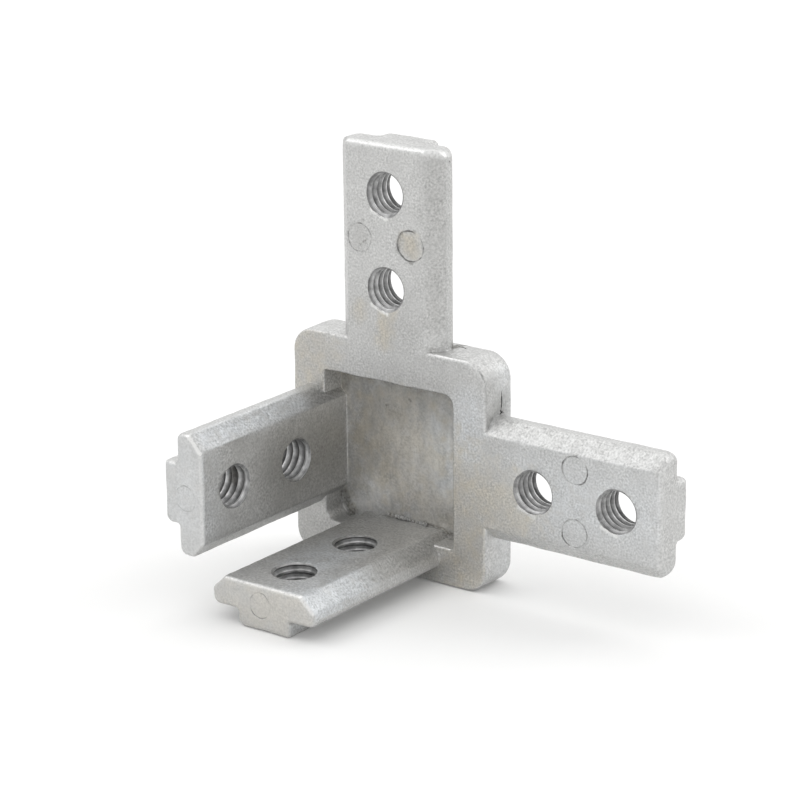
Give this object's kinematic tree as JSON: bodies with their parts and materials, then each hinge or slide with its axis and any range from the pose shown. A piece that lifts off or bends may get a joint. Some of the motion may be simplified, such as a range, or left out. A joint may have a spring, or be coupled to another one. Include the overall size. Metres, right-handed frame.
{
  "type": "hidden corner connector",
  "caption": "Die-cast corner connector: a square pocketed body with T-shaped legs that slide into the slots of framing profiles and lock with screws in tapped holes.",
  "frame": {"origin": "middle of the seat face of the square body, where the front profile ends, on that profile's axis", "axes": "+X along the right leg, +Z along the up leg, -Y along the two front legs; the casting rests on its bottom side"},
  "size_m": [0.0552, 0.0311, 0.0552],
  "materials": {
    "cast_zinc": "blasted zinc alloy die casting, matt silver grey with edges rubbed bright"
  },
  "bodies": {
    "root": {"corner_connector": "cast_zinc"}
  },
  "joints": []
}
